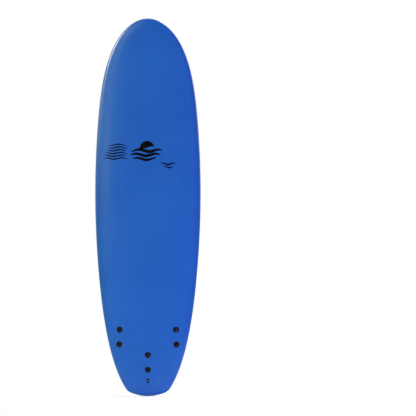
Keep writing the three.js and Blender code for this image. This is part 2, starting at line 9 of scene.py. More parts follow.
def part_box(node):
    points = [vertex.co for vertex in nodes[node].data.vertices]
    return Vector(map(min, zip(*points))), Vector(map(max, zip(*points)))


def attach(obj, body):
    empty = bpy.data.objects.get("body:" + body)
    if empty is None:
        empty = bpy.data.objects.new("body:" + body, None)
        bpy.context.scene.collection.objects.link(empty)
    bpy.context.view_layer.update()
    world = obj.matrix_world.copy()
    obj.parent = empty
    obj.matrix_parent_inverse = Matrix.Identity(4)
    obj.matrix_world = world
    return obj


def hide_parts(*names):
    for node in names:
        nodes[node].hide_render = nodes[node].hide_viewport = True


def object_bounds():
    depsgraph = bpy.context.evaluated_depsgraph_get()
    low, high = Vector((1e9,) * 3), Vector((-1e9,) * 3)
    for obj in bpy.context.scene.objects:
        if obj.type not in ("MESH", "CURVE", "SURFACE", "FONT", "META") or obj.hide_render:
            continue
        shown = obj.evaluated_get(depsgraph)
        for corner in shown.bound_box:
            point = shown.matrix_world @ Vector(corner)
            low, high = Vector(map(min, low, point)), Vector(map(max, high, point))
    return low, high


# A soft-top longboard surfboard, in metres. The frame has +Z towards the nose, the deck facing -Y and
# the hull facing +Y, with the origin at the centre of the hull's flat middle.

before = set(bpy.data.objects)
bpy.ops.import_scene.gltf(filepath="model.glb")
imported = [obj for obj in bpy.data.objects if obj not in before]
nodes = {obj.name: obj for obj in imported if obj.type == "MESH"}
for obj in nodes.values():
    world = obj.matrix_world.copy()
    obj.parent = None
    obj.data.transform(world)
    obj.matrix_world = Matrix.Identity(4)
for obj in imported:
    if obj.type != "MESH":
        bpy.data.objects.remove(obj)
cad_low, cad_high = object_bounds()

# ---------------------------------------------------------------- the board's dimensions

HALF_LENGTH = cad_high[2]

# Half widths at stations along the board, tail first. Their squares are joined by a smooth curve.
STATIONS = [
    (-HALF_LENGTH, 0.0),
    (-1.050, 0.094),
    (-1.020, 0.128),
    (-0.960, 0.160),
    (-0.760, 0.223),
    (-0.350, 0.280),
    (0.070, 0.2984),
    (0.500, 0.281),
    (0.800, 0.234),
    (0.980, 0.1485),
    (HALF_LENGTH, 0.0),
]

FLAT_REACH = 0.250
NOSE_ROCKER = 0.120
TAIL_ROCKER = 0.055
NOSE_ROCKER_POWER = 2.3
TAIL_ROCKER_POWER = 2
THICKNESS = 0.0857
NOSE_THICKNESS = 0.038
TAIL_THICKNESS = 0.034
FOIL_POWER = 2.2

APEX_SHARE = 0.3
RAIL_TUCK = 0.014
SEAM_INSET = 0.0074
DECK_FLAT_SHARE = 0.2
DECK_CROWN_POWER = 3
LENGTHWISE_DRAW = 0.1
TIP_CROWDING = 0.15

GAP = 0.0003
SKIN_DEPTH = 0.0053
SLICK_DEPTH = 0.001
NOSE_BUMPER_Z = HALF_LENGTH - 0.035
TAIL_BUMPER_Z = 0.045 - HALF_LENGTH

SIDE_FIN_X = 0.160
SIDE_FIN_Z = -0.738
CENTER_FIN_Z = -0.882
TOE_IN = math.radians(1.8)
SCREW_SPACING = 0.083
LEASH_PLUG_Z = -0.980

SEAM_ANGLE = math.acos((RAIL_TUCK - SEAM_INSET) / RAIL_TUCK)
SEAM_GAP_ANGLE = math.radians(1.5)
HULL_EDGE_ANGLE = math.pi / 2


# ---------------------------------------------------------------- the board's shape


def smooth_curve(points):
    """A natural cubic spline: returns a function giving the values and slopes at x."""
    xs, ys = np.array(points).T
    steps = np.diff(xs)
    rises = np.diff(ys) / steps
    system = np.eye(len(xs))
    turns = np.zeros(len(xs))
    for i in range(1, len(xs) - 1):
        system[i, i - 1 : i + 2] = steps[i - 1], 2 * (steps[i - 1] + steps[i]), steps[i]
        turns[i] = 6 * (rises[i] - rises[i - 1])
    second = np.linalg.solve(system, turns)

    def curve(x):
        i = np.clip(np.searchsorted(xs, x) - 1, 0, len(steps) - 1)
        b = (x - xs[i]) / steps[i]
        a = 1 - b
        bend = (a**3 - a) * second[i] + (b**3 - b) * second[i + 1]
        value = a * ys[i] + b * ys[i + 1] + bend * steps[i] ** 2 / 6
        lean = (3 * b**2 - 1) * second[i + 1] - (3 * a**2 - 1) * second[i]
        return value, rises[i] + lean * steps[i] / 6

    return curve


width_squared = smooth_curve([(z, half**2) for z, half in STATIONS])


def half_width(z):
    inside = np.clip(z, -HALF_LENGTH, HALF_LENGTH)
    return np.sqrt(np.maximum(width_squared(inside)[0], 0))


def towards_tip(z):
    """How far z is from the flat middle towards the tip on its side, from 0 to 1."""
    return np.maximum(np.abs(z) - FLAT_REACH, 0) / (HALF_LENGTH - FLAT_REACH)


def rocker(z):
    nose = NOSE_ROCKER * towards_tip(z) ** NOSE_ROCKER_POWER
    tail = TAIL_ROCKER * towards_tip(z) ** TAIL_ROCKER_POWER
    return np.where(z > 0, nose, tail)


def thickness(z):
    tip = np.where(z > 0, NOSE_THICKNESS, TAIL_THICKNESS)
    return THICKNESS - (THICKNESS - tip) * towards_tip(z) ** FOIL_POWER


def crown(share):
    rolled = np.clip((share - DECK_FLAT_SHARE) / (1 - DECK_FLAT_SHARE), 0, 1)
    return (1 - rolled**DECK_CROWN_POWER) ** (1 / DECK_CROWN_POWER)


def apex_height(z):
    return APEX_SHARE * thickness(z)


RING = 400


def ring(inset, share, height_at):
    """A loop round the board: the outline moved inwards by inset, then drawn in to a share of its width."""
    index = np.arange(RING)
    turn = 2 * math.pi * index / RING
    z = HALF_LENGTH * np.cos(turn - TIP_CROWDING * np.sin(2 * turn))
    squared, slope = width_squared(z)
    edge = np.sqrt(np.maximum(squared, 0))
    edge[[0, RING // 2]] = 0
    length = np.hypot(edge, slope / 2)
    side = np.where(index <= RING // 2, 1, -1)
    x = side * (edge - inset * edge / length) * share
    along = (z + inset * slope / 2 / length) * (1 - LENGTHWISE_DRAW * (1 - share))
    return np.stack([x, -rocker(along) - height_at(along), along], axis=1)


def deck_ring(depth, share):
    def height(z):
        apex = apex_height(z)
        return apex + (thickness(z) - depth - apex) * crown(share)

    return ring(depth, share, height)


def rail_ring(depth, angle):
    """The lower rail is a quarter ellipse: angle 0 is the apex and a right angle the flat hull's edge."""
    inset = RAIL_TUCK - (RAIL_TUCK - depth) * math.cos(angle)

    def height(z):
        apex = apex_height(z)
        return apex - (apex - depth) * math.sin(angle)

    return ring(inset, 1, height)


def hull_ring(depth, share):
    return ring(RAIL_TUCK, share, lambda z: np.full_like(z, depth))


def deck_height(x, z):
    """The deck's height above the hull over any points."""
    low = np.zeros_like(x)
    high = np.ones_like(x)
    for _ in range(40):
        share = (low + high) / 2
        short = share * half_width(z / (1 - LENGTHWISE_DRAW * (1 - share))) < np.abs(x)
        low = np.where(short, share, low)
        high = np.where(short, high, share)
    apex = apex_height(z)
    return apex + (thickness(z) - apex) * crown(low)


def deck_y(x, z):
    return -rocker(z) - deck_height(x, z)


# ---------------------------------------------------------------- mesh tools


def make_object(name, points, faces):
    mesh = bpy.data.meshes.new(name)
    mesh.from_pydata([tuple(p) for p in points], [], faces)
    mesh.update()
    obj = bpy.data.objects.new(name, mesh)
    bpy.context.scene.collection.objects.link(obj)
    return obj


def wall_faces(loop_count, size):
    """Four-sided faces between neighbouring loops of equal size."""
    faces = []
    for r in range(loop_count - 1):
        for i in range(size):
            a = r * size + i
            b = r * size + (i + 1) % size
            faces.append((a, b, b + size, a + size))
    return faces


def across_faces(start):
    """Four-sided faces straight across a board ring, whose points start at an index."""
    faces = []
    for i in range(RING // 2):
        face = [i, i + 1, RING - i - 1, (RING - i) % RING]
        if i == 0:
            face = [0, 1, RING - 1]
        if i == RING // 2 - 1:
            face = [i, i + 1, i + 2]
        faces.append(tuple(start + f for f in face))
    return faces


def board_body(name, rings):
    """A closed body through board rings, with the first and the last filled straight across."""
    faces = wall_faces(len(rings), RING)
    faces += across_faces(0)
    faces += across_faces((len(rings) - 1) * RING)
    return closed(make_object(name, np.concatenate(rings), faces))


def loop_body(name, loops):
    """A closed body through loops of equal size, with the first and the last filled by one face."""
    size = len(loops[0])
    faces = wall_faces(len(loops), size)
    faces.append(tuple(range(size)))
    faces.append(tuple(range((len(loops) - 1) * size, len(loops) * size)))
    return closed(make_object(name, np.concatenate(loops), faces))


def turned_body(name, profile, segments):
    """A closed body turned round Y from (radius, y) pairs, none of them on the axis."""
    angle = 2 * math.pi * np.arange(segments) / segments
    loops = []
    for radius, y in profile:
        x, z = radius * np.cos(angle), radius * np.sin(angle)
        loops.append(np.stack([x, np.full(segments, y), z], axis=1))
    return loop_body(name, loops)


def closed(obj):
    """Turns every face of a closed mesh outwards."""
    mesh = bmesh.new()
    mesh.from_mesh(obj.data)
    bmesh.ops.remove_doubles(mesh, verts=mesh.verts, dist=1e-7)
    bmesh.ops.recalc_face_normals(mesh, faces=mesh.faces)
    mesh.to_mesh(obj.data)
    mesh.free()
    return obj


def carve(obj, cutters, operation="DIFFERENCE"):
    """Cuts the cutters out of obj, joins them to it, or keeps what they share."""
    for cutter in cutters:
        modifier = obj.modifiers.new("carve", "BOOLEAN")
        modifier.operation = operation
        modifier.solver = "MANIFOLD"
        modifier.object = cutter
        bpy.context.view_layer.update()
        depsgraph = bpy.context.evaluated_depsgraph_get()
        mesh = bpy.data.meshes.new_from_object(obj.evaluated_get(depsgraph))
        obj.modifiers.clear()
        obj.data = mesh
        bpy.data.objects.remove(cutter)
    return obj


def place_mesh(obj, matrix):
    obj.data.transform(matrix)
    obj.data.update()
    return obj


def box_body(name, low, high):
    points = [(x, y, z) for x in (low[0], high[0]) for y in (low[1], high[1]) for z in (low[2], high[2])]
    faces = [(0, 1, 3, 2), (4, 6, 7, 5), (0, 4, 5, 1), (2, 3, 7, 6), (0, 2, 6, 4), (1, 5, 7, 3)]
    return closed(make_object(name, points, faces))


def finish_piece(obj, material, slot_name, *replaced, sharp=35):
    """Shades a piece, paints it, puts it under the root, and hides the CAD nodes that it stands for."""
    mesh = obj.data
    mesh.polygons.foreach_set("use_smooth", [True] * len(mesh.polygons))
    mesh.set_sharp_from_angle(angle=math.radians(sharp))
    mesh.materials.clear()
    mesh.materials.append(material)
    mesh.update()
    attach(obj, "root")
    if replaced:
        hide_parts(*replaced)
    return obj


# ---------------------------------------------------------------- places on the board


def hull_place(x, z, turn):
    """Local axes at a point of the hull: +Y leaves the hull, +Z runs towards the nose."""
    step = 0.0005
    slope = float(rocker(z + step) - rocker(z - step)) / (2 * step)
    outwards = Vector((0, 1, slope)).normalized()
    across = Vector((1, 0, 0))
    forwards = across.cross(outwards)
    axes = Matrix((across, outwards, forwards)).transposed().to_4x4()
    return Matrix.Translation((x, -float(rocker(z)), z)) @ axes @ Matrix.Rotation(turn, 4, "Y")


def deck_distance(place, local_x, local_z):
    """How far the deck lies behind local points on the hull, along the place's own -Y."""
    matrix = np.array(place)
    inwards = -matrix[:3, 1]
    start = matrix[:3, 3] + np.multiply.outer(local_x, matrix[:3, 0])
    start = start + np.multiply.outer(local_z, matrix[:3, 2])
    distance = np.zeros(np.shape(local_x))
    for _ in range(12):
        point = start + np.multiply.outer(distance, inwards)
        behind = point[..., 1] - deck_y(point[..., 0], point[..., 2])
        distance = distance + behind / abs(inwards[1])
    return distance


# ---------------------------------------------------------------- materials


class Nodes:
    """Builds one material's node tree in object coordinates, in metres."""

    def __init__(self, name, **sockets):
        self.material = bpy.data.materials.new(name)
        self.material.use_nodes = True
        self.tree = self.material.node_tree
        self.shader = self.tree.nodes["Principled BSDF"]
        self.place = self.node("ShaderNodeTexCoord").outputs["Object"]
        for socket, value in sockets.items():
            self.set(socket.replace("_", " "), value)

    def set(self, socket, value):
        self.shader.inputs[socket].default_value = value

    def node(self, kind, **settings):
        node = self.tree.nodes.new(kind)
        for key, value in settings.items():
            setattr(node, key, value)
        return node

    def link(self, output, socket):
        self.tree.links.new(output, socket)

    def stretched(self, scale):
        """The coordinates, scaled differently along each axis."""
        mapping = self.node("ShaderNodeMapping")
        mapping.inputs["Scale"].default_value = scale
        self.link(self.place, mapping.inputs["Vector"])
        return mapping.outputs["Vector"]

    def noise(self, size, detail=3.0, rough=0.5, place=None, warp=0.0):
        """Soft random noise with features of about one size, in metres."""
        noise = self.node("ShaderNodeTexNoise")
        noise.inputs["Scale"].default_value = 1 / size
        noise.inputs["Detail"].default_value = detail
        noise.inputs["Roughness"].default_value = rough
        noise.inputs["Distortion"].default_value = warp
        self.link(place or self.place, noise.inputs["Vector"])
        return noise.outputs["Fac"]

    def cells(self, size, feature="SMOOTH_F1", place=None):
        """Distances in a pattern of random cells of one size."""
        cells = self.node("ShaderNodeTexVoronoi", feature=feature)
        cells.inputs["Scale"].default_value = 1 / size
        self.link(place or self.place, cells.inputs["Vector"])
        return cells.outputs["Distance"]

    def ramp(self, value, low, high, start=0.0, end=1.0):
        """Maps low..high smoothly onto start..end."""
        node = self.node("ShaderNodeMapRange", interpolation_type="SMOOTHSTEP")
        node.inputs["From Min"].default_value = low
        node.inputs["From Max"].default_value = high
        node.inputs["To Min"].default_value = start
        node.inputs["To Max"].default_value = end
        self.link(value, node.inputs["Value"])
        return node.outputs["Result"]

    def math(self, operation, a, b):
        node = self.node("ShaderNodeMath", operation=operation)
        for socket, value in zip(node.inputs, (a, b)):
            if isinstance(value, (int, float)):
                socket.default_value = value
            else:
                self.link(value, socket)
        return node.outputs["Value"]

    def blend(self, factor, a, b):
        """Mixes two colours, each a tuple or an output."""
        node = self.node("ShaderNodeMix", data_type="RGBA")
        self.link(factor, node.inputs["Factor"])
        for socket, value in ((node.inputs[6], a), (node.inputs[7], b)):
            if isinstance(value, tuple):
                socket.default_value = (*value, 1)
            else:
                self.link(value, socket)
        return node.outputs[2]

    def bump(self, *layers):
        """Adds relief. Each layer is a height output and how deep it is, in metres."""
        normal = None
        for height, depth in layers:
            node = self.node("ShaderNodeBump")
            node.inputs["Strength"].default_value = 1.0
            node.inputs["Distance"].default_value = depth
            self.link(height, node.inputs["Height"])
            if normal:
                self.link(normal, node.inputs["Normal"])
            normal = node.outputs["Normal"]
        self.link(normal, self.shader.inputs["Normal"])

    def color(self, output):
        self.link(output, self.shader.inputs["Base Color"])

    def roughness(self, output):
        self.link(output, self.shader.inputs["Roughness"])


DECK_PEBBLE = 0.0026


def deck_foam_material():
    """Soft blue closed-cell foam sheet, embossed with a fine pebble, with painted shade in the pebble's
    valleys.
    """
    m = Nodes("deck_foam", Specular_IOR_Level=0.26)
    pebble = m.cells(DECK_PEBBLE)
    pores = m.noise(0.0006, detail=2)
    cloud = m.noise(0.35, detail=4, rough=0.55)
    scuff = m.ramp(m.noise(0.05, detail=8, rough=0.7, warp=0.6), 0.60, 0.78)
    base = m.blend(m.ramp(cloud, 0.35, 0.65), (0.0115, 0.106, 0.430), (0.0135, 0.116, 0.459))
    # Painted shade: the blue is darkened where the pebble's relief dips, between its cells.
    base = m.blend(m.ramp(pebble, 0.30, 0.75, 0.0, 0.30), base, (0.004, 0.052, 0.27))
    base = m.blend(m.math("MULTIPLY", scuff, 0.10), base, (0.10, 0.22, 0.55))
    m.color(base)
    grain = m.math("MULTIPLY", pores, 0.10)
    m.roughness(m.math("ADD", m.ramp(cloud, 0.3, 0.7, 0.27, 0.32), grain))
    m.bump((m.ramp(pebble, 0.0, 0.8, 1.0, 0.0), 0.00012), (pores, 0.00002), (cloud, 0.0006))
    return m.material


def hull_slick_material():
    """Glossy white polyethylene sheet with a faint orange peel and hairline scratches."""
    m = Nodes("hull_slick", Specular_IOR_Level=0.45, Coat_Weight=0.12, Coat_Roughness=0.18)
    peel = m.noise(0.006, detail=3)
    waves = m.noise(0.09, detail=2)
    hair = m.noise(0.0012, detail=3, place=m.stretched((6.0, 6.0, 0.08)))
    scratches = m.ramp(hair, 0.68, 0.80)
    haze = m.noise(0.25, detail=1)
    base = m.blend(m.ramp(haze, 0.35, 0.65), (0.904, 0.906, 0.908), (0.912, 0.912, 0.911))
    base = m.blend(m.math("MULTIPLY", scratches, 0.25), base, (0.70, 0.71, 0.72))
    m.color(base)
    m.roughness(m.math("ADD", m.ramp(haze, 0.3, 0.7, 0.26, 0.29), m.math("MULTIPLY", scratches, 0.2)))
    m.bump((peel, 0.00005), (waves, 0.0004), (scratches, 0.00002))
    return m.material


def rubber_material(name, dark, light, grain=0.0011, rough=0.55, shine=0.3):
    """Moulded rubber with a fine leather grain and a dusty bloom."""
    m = Nodes(name, Specular_IOR_Level=shine)
    pebble = m.cells(grain)
    bloom = m.noise(0.02, detail=6, rough=0.65)
    m.color(m.blend(m.ramp(bloom, 0.35, 0.72), dark, light))
    m.roughness(m.ramp(bloom, 0.3, 0.7, rough - 0.05, rough + 0.12))
    m.bump((m.ramp(pebble, 0.0, 0.8, 1.0, 0.0), 0.00012), (m.noise(0.0004), 0.00003))
    return m.material


def fin_plastic_material():
    """Black moulded plastic, half glossy, with a soft satin grain and a few lighter rub marks."""
    m = Nodes("fin_plastic", Specular_IOR_Level=0.14)
    satin = m.noise(0.0009, detail=3)
    rub = m.ramp(m.noise(0.016, detail=8, rough=0.72, warp=0.8), 0.60, 0.78)
    base = m.blend(m.noise(0.05, detail=3), (0.0010, 0.0010, 0.0011), (0.0026, 0.0026, 0.0028))
    m.color(m.blend(m.math("MULTIPLY", rub, 0.25), base, (0.02, 0.02, 0.021)))
    m.roughness(m.math("ADD", m.ramp(satin, 0.3, 0.7, 0.20, 0.27), m.math("MULTIPLY", rub, 0.16)))
    m.bump((satin, 0.00004), (m.noise(0.03), 0.0002))
    return m.material


def nylon_material():
    """Brown-black moulded nylon with a faint mottle."""
    m = Nodes("nylon", Specular_IOR_Level=0.12)
    mottle = m.noise(0.004, detail=5)
    m.color(m.blend(mottle, (0.0040, 0.0030, 0.0022), (0.0095, 0.0073, 0.0056)))
    m.roughness(m.ramp(mottle, 0.3, 0.7, 0.38, 0.55))
    m.bump((m.noise(0.0005, detail=3), 0.00003), (mottle, 0.00006))
    return m.material


def polished_and_sheen_painted_nylon_material():
    """The screw's dished centre, polished by the mould and by use, with a cold, lighter cast that is a
    painted sheen.
    """
    m = Nodes("nylon_sheen_painted_and_polished", Specular_IOR_Level=0.35)
    swirl = m.noise(0.0016, detail=4, warp=1.2)
    # Painted sheen: the dish is coloured lighter and bluer than the rest of the head.
    m.color(m.blend(swirl, (0.003, 0.005, 0.013), (0.007, 0.010, 0.024)))
    m.roughness(m.ramp(swirl, 0.3, 0.7, 0.24, 0.36))
    m.bump((swirl, 0.00004))
    return m.material


def pin_steel_material():
    """Brushed stainless rod, tinted warm as a painted reflection of its surroundings."""
    m = Nodes("pin_steel", Metallic=1.0)
    brush = m.noise(0.0006, detail=4, place=m.stretched((0.12, 1.0, 1.0)))
    m.color(m.blend(brush, (0.55, 0.50, 0.43), (0.78, 0.74, 0.67)))
    m.roughness(m.ramp(brush, 0.3, 0.7, 0.22, 0.40))
    m.bump((brush, 0.00003))
    return m.material


def ink_material():
    """Matte black ink, broken very slightly by the foam's pebble."""
    m = Nodes("deck_ink", Specular_IOR_Level=0.05)
    pebble = m.cells(DECK_PEBBLE)
    wash = m.noise(0.03, detail=5)
    base = m.blend(m.ramp(wash, 0.3, 0.7), (0.0006, 0.0006, 0.0008), (0.0020, 0.0020, 0.0026))
    m.color(m.blend(m.ramp(pebble, 0.55, 0.9, 0.0, 0.25), base, (0.001, 0.003, 0.010)))
    m.roughness(m.ramp(wash, 0.3, 0.7, 0.50, 0.62))
    m.bump((m.ramp(pebble, 0.0, 0.8, 1.0, 0.0), 0.00012))
    return m.material


def bead_foam_material(name, dark, light, bead):
    """Expanded foam made of pressed beads, with painted shade in the hollows between the beads."""
    m = Nodes(name, Specular_IOR_Level=0.3)
    beads = m.cells(bead, feature="F1")
    tone = m.noise(0.04, detail=4)
    base = m.blend(m.ramp(tone, 0.3, 0.7), dark, light)
    # Painted shade: darker between the beads, where their relief dips.
    m.color(m.blend(m.ramp(beads, 0.45, 0.75, 0.0, 0.4), base, tuple(0.75 * c for c in dark)))
    m.roughness(m.ramp(tone, 0.3, 0.7, 0.75, 0.9))
    m.bump((m.ramp(beads, 0.0, 0.7, 1.0, 0.0), 0.0006))
    return m.material


def plywood_material():
    """Long-grained ply with thin darker growth lines."""
    m = Nodes("plywood", Specular_IOR_Level=0.3)
    grain = m.noise(0.004, detail=6, rough=0.6, place=m.stretched((1.0, 1.0, 0.03)))
    pore = m.noise(0.0007, detail=3, place=m.stretched((1.0, 1.0, 0.05)))
    m.color(m.blend(m.ramp(grain, 0.35, 0.68), (0.30, 0.17, 0.075), (0.60, 0.40, 0.21)))
    m.roughness(m.ramp(pore, 0.3, 0.7, 0.55, 0.78))
    m.bump((grain, 0.0002), (pore, 0.0001))
    return m.material


def tube_plastic_material():
    """Grey translucent-looking pipe plastic."""
    m = Nodes("sleeve_plastic", Specular_IOR_Level=0.4)
    flow = m.noise(0.006, detail=4, place=m.stretched((1.0, 0.2, 1.0)))
    m.color(m.blend(flow, (0.40, 0.43, 0.46), (0.56, 0.58, 0.60)))
    m.roughness(m.ramp(flow, 0.3, 0.7, 0.36, 0.52))
    m.bump((m.noise(0.0008), 0.00004))
    return m.material


def brass_material():
    """Machined brass with fine turning marks and slight tarnish."""
    m = Nodes("insert_brass", Metallic=1.0)
    turning = m.noise(0.0004, detail=3, place=m.stretched((0.3, 3.0, 0.3)))
    tarnish = m.noise(0.003, detail=5)
    m.color(m.blend(m.ramp(tarnish, 0.3, 0.75), (0.80, 0.60, 0.27), (0.52, 0.35, 0.13)))
    m.roughness(m.ramp(turning, 0.3, 0.7, 0.22, 0.42))
    m.bump((turning, 0.00003))
    return m.material


def floor_material():
    """A pale matte studio floor."""
    m = Nodes("studio_floor", Specular_IOR_Level=0.1)
    speckle = m.noise(0.02, detail=4)
    m.color(m.blend(speckle, (0.90, 0.90, 0.90), (0.93, 0.93, 0.93)))
    m.roughness(m.ramp(speckle, 0.3, 0.7, 0.80, 0.92))
    return m.material


# ---------------------------------------------------------------- deck skin

CROWN_STEPS = 26
RAIL_STEPS = 10
SEAM_ROUND = 0.0005
RAIL_ARC_RADIUS = 0.02  # turns a small length round the lower rail into an angle
POCKET_RADIUS = 0.017
POCKET_ROUND = 0.0016
POCKET_DEPTH = 0.0084
SLEEVE_RADIUS = 0.010


def deck_shares(steps):
    """Shares of the half width, spaced evenly round the crown of the deck."""
    angles = np.pi / 2 * np.arange(1, steps + 1) / steps
    rolled = np.sin(angles) ** (2 / DECK_CROWN_POWER)
    inner = [0.02, 0.08, 0.14, DECK_FLAT_SHARE]
    return inner + list(DECK_FLAT_SHARE + (1 - DECK_FLAT_SHARE) * rolled)


def skin_rings():
    outside = [deck_ring(0, share) for share in deck_shares(CROWN_STEPS)]
    last = SEAM_ANGLE - SEAM_ROUND / RAIL_ARC_RADIUS
    outside += [rail_ring(0, last * i / RAIL_STEPS) for i in range(1, RAIL_STEPS + 1)]
    eased = 0.3 * SEAM_ROUND
    outside += [rail_ring(eased, SEAM_ANGLE - eased / RAIL_ARC_RADIUS)]
    outside += [rail_ring(SEAM_ROUND, SEAM_ANGLE)]
    inside = [deck_ring(SKIN_DEPTH, share) for share in deck_shares(CROWN_STEPS // 2)]
    inside += [rail_ring(SKIN_DEPTH, SEAM_ANGLE * i / 4) for i in range(1, 5)]
    return outside + inside[::-1]


def pocket_cutter(place, local_z):
    """The room for a screw's head and sleeve, with its mouth rolled over along the deck."""
    segments = 64
    profile = [(POCKET_RADIUS + POCKET_ROUND, -0.004)]
    for i in range(7):
        roll = math.pi / 2 * i / 6
        radius = POCKET_RADIUS + POCKET_ROUND * (1 - math.sin(roll))
        profile.append((radius, POCKET_ROUND * (1 - math.cos(roll))))
    angles = 2 * math.pi * np.arange(segments) / segments
    loops = []
    for radius, depth in profile:
        x, z = radius * np.cos(angles), local_z + radius * np.sin(angles)
        loops.append(np.stack([x, depth - deck_distance(place, x, z), z], axis=1))
    middle = -float(deck_distance(place, 0.0, local_z))
    for radius, y in [
        (POCKET_RADIUS, middle + POCKET_DEPTH),
        (SLEEVE_RADIUS + GAP, middle + POCKET_DEPTH),
        (SLEEVE_RADIUS + GAP, 0.005),
    ]:
        ys = np.full(segments, y)
        loops.append(np.stack([radius * np.cos(angles), ys, local_z + radius * np.sin(angles)], axis=1))
    return place_mesh(loop_body("pocket", loops), place)


def obround(width, length, margin=0.0, steps=16):
    """Points (x, z) of a shape with straight sides and round ends along Z, grown by a margin."""
    radius = width / 2 + margin
    straight = (length - width) / 2
    points = []
    for end in (1, -1):
        for i in range(steps + 1):
            angle = math.pi * i / steps
            points.append((end * radius * math.cos(angle), end * (straight + radius * math.sin(angle))))
    return np.array(points)


LEASH_MOUTH = (0.0106, 0.0226)
LEASH_WALL = 0.0012
LEASH_DEPTH = 0.022
LEASH_FLOOR = 0.002
LEASH_FLANGE_MARGIN = 0.005
LEASH_FLANGE_TOP = 0.0059
LEASH_FLANGE_HEIGHT = 0.002
LEASH_PIN_RADIUS = 0.0019
LEASH_HOLE_ROUND = 0.0009


def leash_loop(margin, depth):
    """A loop round the leash plug's mouth, grown by a margin, at a depth below the deck."""
    flat = obround(*LEASH_MOUTH, margin)
    top = float(deck_y(np.array(0.0), np.array(LEASH_PLUG_Z)))
    return np.stack([flat[:, 0], np.full(len(flat), top + depth), LEASH_PLUG_Z + flat[:, 1]], axis=1)


def leash_cutter():
    hole = LEASH_WALL + GAP
    roll = LEASH_HOLE_ROUND
    loops = [leash_loop(hole + roll, -0.004)]
    for i in range(6):
        turn = math.pi / 2 * i / 5
        loops.append(leash_loop(hole + roll * (1 - math.sin(turn)), roll * (1 - math.cos(turn))))
    loops.append(leash_loop(hole, 0.012))
    return loop_body("leash_hole", loops)


FINS = {
    "left": hull_place(-SIDE_FIN_X, SIDE_FIN_Z, TOE_IN),
    "right": hull_place(SIDE_FIN_X, SIDE_FIN_Z, -TOE_IN),
    "center": hull_place(0, CENTER_FIN_Z, 0),
}
SCREW_ENDS = {"front": SCREW_SPACING / 2, "rear": -SCREW_SPACING / 2}


def build_deck_skin(material):
    skin = board_body("deck_skin_foam", skin_rings())
    cutters = [pocket_cutter(place, z) for place in FINS.values() for z in SCREW_ENDS.values()]
    carve(skin, cutters + [leash_cutter()])
    finish_piece(skin, material, "deck_foam", "deck_skin")
    return skin


# ---------------------------------------------------------------- hull sheet and bumpers

REACH = 1.5  # further out than any part of the board
HULL_SHARES = [0.02, 0.2, 0.4, 0.6, 0.75, 0.87, 0.95, 0.985]
SLICK_ROUND = 0.0003
BUMPER_ROUND = 0.0006
BUMPER_BEVEL = 0.0007


def sheet_rings(from_depth, to_depth, round_edge):
    """Rings of a hull sheet: its inner side from the middle out, then its outer side back in."""
    edge = SEAM_ANGLE + SEAM_GAP_ANGLE
    inner = [hull_ring(to_depth, share) for share in HULL_SHARES]
    inner += [rail_ring(to_depth, angle) for angle in np.linspace(HULL_EDGE_ANGLE, edge, 6)]
    lip = rail_ring(from_depth + round_edge, edge)
    eased = edge + round_edge / RAIL_ARC_RADIUS
    outer = [rail_ring(from_depth, angle) for angle in np.linspace(eased, HULL_EDGE_ANGLE, 9)]
    outer += [hull_ring(from_depth, share) for share in reversed(HULL_SHARES)]
    return inner + [lip] + outer


def z_slab(from_z, to_z):
    return box_body("slab", (-REACH, -REACH, from_z), (REACH, REACH, to_z))


GRIP_PLACE = Vector((-0.054, 0, -0.009))
GRIP_PITCH = 0.0349
GRIP_BULGES = 4
GRIP_CAP_POWER = 2.4
GRIP_STEPS_PER_BULGE = 26
GRIP_CAP_STEPS = 12
GRIP_WALL = 0.0025
GRIP_DEPTH = 0.034
GRIP_RIM_ROUND = 0.0008
GRIP_RIM_SHAPE = (0.0149, 0.0099, 0.012)  # half widths at a bulge and a neck, and the cap's length
GRIP_FLOOR_SHAPE = (0.0066, 0.0042, 0.0055)
GRIP_HOLE_ROUND = 0.0004


def grip_outline(wide, neck, cap, margin=0.0):
    """The scalloped outline as (x, z) points: a wave between two rounded caps, grown by a margin."""
    reach = GRIP_PITCH * (GRIP_BULGES - 1) / 2
    side = []
    for i in range(1, GRIP_CAP_STEPS):
        angle = math.pi / 2 * i / GRIP_CAP_STEPS
        x = wide * math.sin(angle) ** (2 / GRIP_CAP_POWER)
        side.append((x, -reach - cap * math.cos(angle) ** (2 / GRIP_CAP_POWER)))
    steps = GRIP_STEPS_PER_BULGE * (GRIP_BULGES - 1)
    for i in range(steps + 1):
        wave = math.cos(2 * math.pi * i / GRIP_STEPS_PER_BULGE)
        side.append(((wide + neck) / 2 + (wide - neck) / 2 * wave, -reach + 2 * reach * i / steps))
    side += [(x, -z) for x, z in side[: GRIP_CAP_STEPS - 1]][::-1]
    loop = [(0, -reach - cap)] + side + [(0, reach + cap)] + [(-x, z) for x, z in side][::-1]
    points = np.array(loop)
    along = np.roll(points, -1, axis=0) - np.roll(points, 1, axis=0)
    along /= np.linalg.norm(along, axis=1)[:, None]
    return points + margin * np.stack([along[:, 1], -along[:, 0]], axis=1)


def grip_loop(flat, y):
    x, z = flat[:, 0] + GRIP_PLACE.x, flat[:, 1] + GRIP_PLACE.z
    return np.stack([x, np.full(len(flat), y), z], axis=1)


def grip_rim(margin):
    return grip_outline(*GRIP_RIM_SHAPE, margin)


def grip_cutter():
    roll = GRIP_HOLE_ROUND
    loops = [grip_loop(grip_rim(GAP + roll), 0.004)]
    for i in range(4):
        turn = math.pi / 2 * i / 3
        loops.append(grip_loop(grip_rim(GAP + roll * (1 - math.sin(turn))), -roll * (1 - math.cos(turn))))
    loops.append(grip_loop(grip_rim(GAP), -0.008))
    return loop_body("grip_hole", loops)


def sleeve_cutter(place, local_z):
    cutter = turned_body("sleeve_hole", [(SLEEVE_RADIUS + GAP, -0.012), (SLEEVE_RADIUS + GAP, 0.005)], 48)
    return place_mesh(cutter, place @ Matrix.Translation((0, 0, local_z)))


